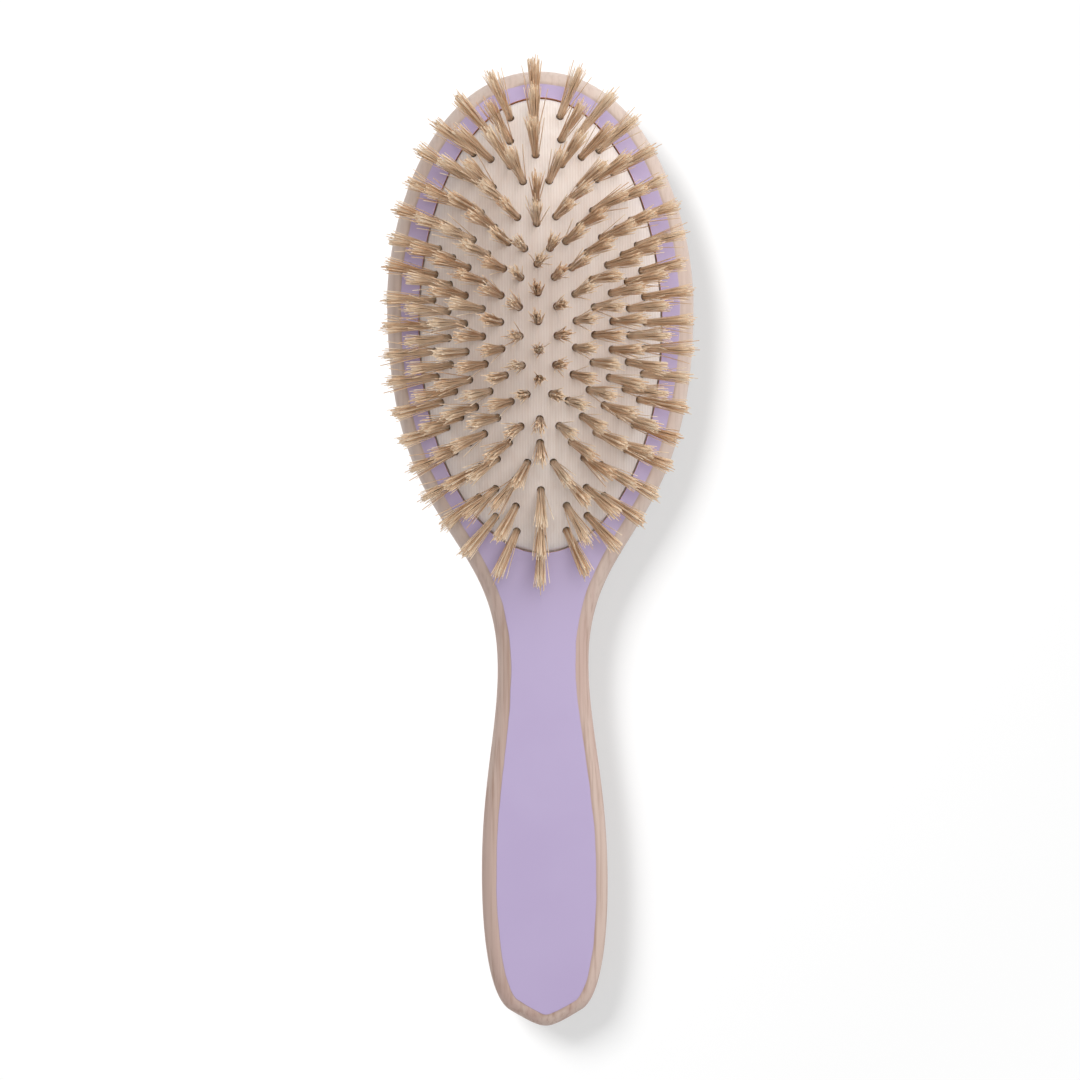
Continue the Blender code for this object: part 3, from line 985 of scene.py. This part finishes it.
# %% Gather bristles into a few different tufts
HAIRS_IN_TUFT = 44
ROOT_WIDTH = 0.00145
HAIR_LEAN = 0.043
LEAN_SCATTER = 0.017
STRAY_SHARE = 0.1
STRAY_LEAN = 0.1
ASIDE_SCATTER = 0.5
LENGTH_SCATTER = 0.035
MIDDLE_TONE = 0.5
TONE_SCATTER = 0.2
TUFT_KINDS = 6
SPIRAL_POWER = 0.6
GOLDEN_TURN = math.pi * (3 - math.sqrt(5))
CHANCE_SEED = 7

chance = random.Random(CHANCE_SEED)


def add_to_numbers(obj, name, amount):
    """Add one amount to a number that each point of the mesh stores."""
    values = np.empty(len(obj.data.vertices), np.float32)
    attribute = obj.data.attributes[name]
    attribute.data.foreach_get("value", values)
    attribute.data.foreach_set("value", values + np.float32(amount))


def gather_tuft(name):
    """Bristles set in a spiral, upright in the middle and leaning out towards the edge."""
    bunch = []
    for number in range(HAIRS_IN_TUFT):
        reach = ((number + 0.5) / HAIRS_IN_TUFT) ** SPIRAL_POWER
        turn = number * GOLDEN_TURN
        root = Vector((math.cos(turn), math.sin(turn), 0)) * reach * ROOT_WIDTH / 2
        lean = HAIR_LEAN * reach + chance.gauss(0, LEAN_SCATTER)
        if chance.random() < STRAY_SHARE:
            lean += chance.uniform(-STRAY_LEAN / 2, STRAY_LEAN)
        aside = turn + chance.gauss(0, ASIDE_SCATTER)
        way = Vector((math.cos(aside) * math.sin(lean), math.sin(aside) * math.sin(lean),
                      math.cos(lean)))
        size = Matrix.Diagonal((1, 1, 1 - abs(chance.gauss(0, LENGTH_SCATTER)), 1))
        spin = Matrix.Rotation(chance.uniform(0, 2 * math.pi), 4, "Z")
        stand = way.to_track_quat("Z", "Y").to_matrix().to_4x4()
        bristle = copy_of(chance.choice(hairs), Matrix.Translation(root) @ stand @ spin @ size)
        add_to_numbers(bristle, "tone", chance.gauss(MIDDLE_TONE, TONE_SCATTER))
        bunch.append(bristle)
    return join(bunch, name)


kinds = [gather_tuft(f"tuft_kind_{number + 1}") for number in range(TUFT_KINDS)]
report(kinds[0])

# %% [markdown]
# Boar bristle is a warm beige, a little browner at its tip, and no two bristles have quite the
# same tone. Near its foot each bristle is painted a touch lighter, as painted light against the
# shade deep in the tuft. A material for each tone would be a lot to keep in step. One material
# does for all of them, because it reads the two numbers that each bristle carries.

# %% Boar bristle
SPECKLE_SHARE = 0.25
BRISTLE_ROUGHNESS = 0.5
TONE_GLOSS = 0.16

boar = Finish("boar_bristle")
up = boar.attribute("up_bristle")
tone = boar.attribute("tone")
speckle = boar.noise(scale=700, detail=2)
# Painted light: the foot of each bristle is a touch lighter, against the shade deep in the tuft.
painted_light_foot = boar.mix(up.step(-0.05, 0.3), colour(255, 230, 202), colour(252, 227, 198))
tan = boar.mix(up.step(0.5, 1.0), painted_light_foot, colour(247, 223, 194))
dark = boar.mix((MIDDLE_TONE - tone).step(0.0, 0.35), tan, colour(222, 181, 142))
light = boar.mix((tone - MIDDLE_TONE).step(0.0, 0.5), dark, colour(252, 236, 214))
spotted = boar.mix(speckle.step(0.55, 0.75) * SPECKLE_SHARE, light, colour(232, 194, 156))
boar.feed(boar.shader, {
    "Base Color": spotted,
    "Roughness": BRISTLE_ROUGHNESS - tone * TONE_GLOSS,
})
for kind in kinds:
    kind.data.materials.append(boar.material)
print("bristles in all:", HAIRS_IN_TUFT * sum(len(row) for row in rows))

# %% [markdown]
# The real pad has 165 tufts, and no two are alike. Six kinds are enough here, because each copy is
# turned at random, tipped and shortened a little and toned a little lighter or darker. Each row of
# tufts becomes one piece that rides on the pad and stands for the nodes of that row.

# %% Plant the tufts, one piece for each row
TUFT_TONE_SCATTER = 0.08
TUFT_LEAN_SCATTER = 0.03
TUFT_LENGTH_SCATTER = 0.015
ROOT_SHIFT = 0.0001

for number, places in enumerate(rows):
    planted = []
    for place in places:
        outward = place.to_3x3().col[2].xy.to_3d()
        place = Matrix.Translation(outward * ROOT_SHIFT) @ place
        spin = Matrix.Rotation(chance.uniform(0, 2 * math.pi), 4, "Z")
        tip = Matrix.Rotation(chance.gauss(0, TUFT_LEAN_SCATTER), 4, "X")
        size = Matrix.Scale(1 - abs(chance.gauss(0, TUFT_LENGTH_SCATTER)), 4, (0, 0, 1))
        tuft = copy_of(chance.choice(kinds), place @ spin.inverted() @ tip @ spin @ size)
        add_to_numbers(tuft, "tone", chance.gauss(0, TUFT_TONE_SCATTER))
        planted.append(tuft)
    stem = f"bristles_row{number}_" if number else "bristles_centre"
    row_piece = join(planted, f"tufts_row{number}" if number else "tufts_centre")
    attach(row_piece, "bristle_pad")
    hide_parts(*[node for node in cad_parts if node.startswith(stem)])
    report(row_piece)
for spare in hairs + kinds:
    bpy.data.objects.remove(spare)

# %% [markdown]
# Last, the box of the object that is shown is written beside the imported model's own, to see that
# no piece has grown past it.

# %% Write the sizes and finish
visual_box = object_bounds()
for title, (low, high) in (("packed model", cad_box), ("shown object", visual_box)):
    print(title, [round(1000 * side, 1) for side in high - low], "mm")
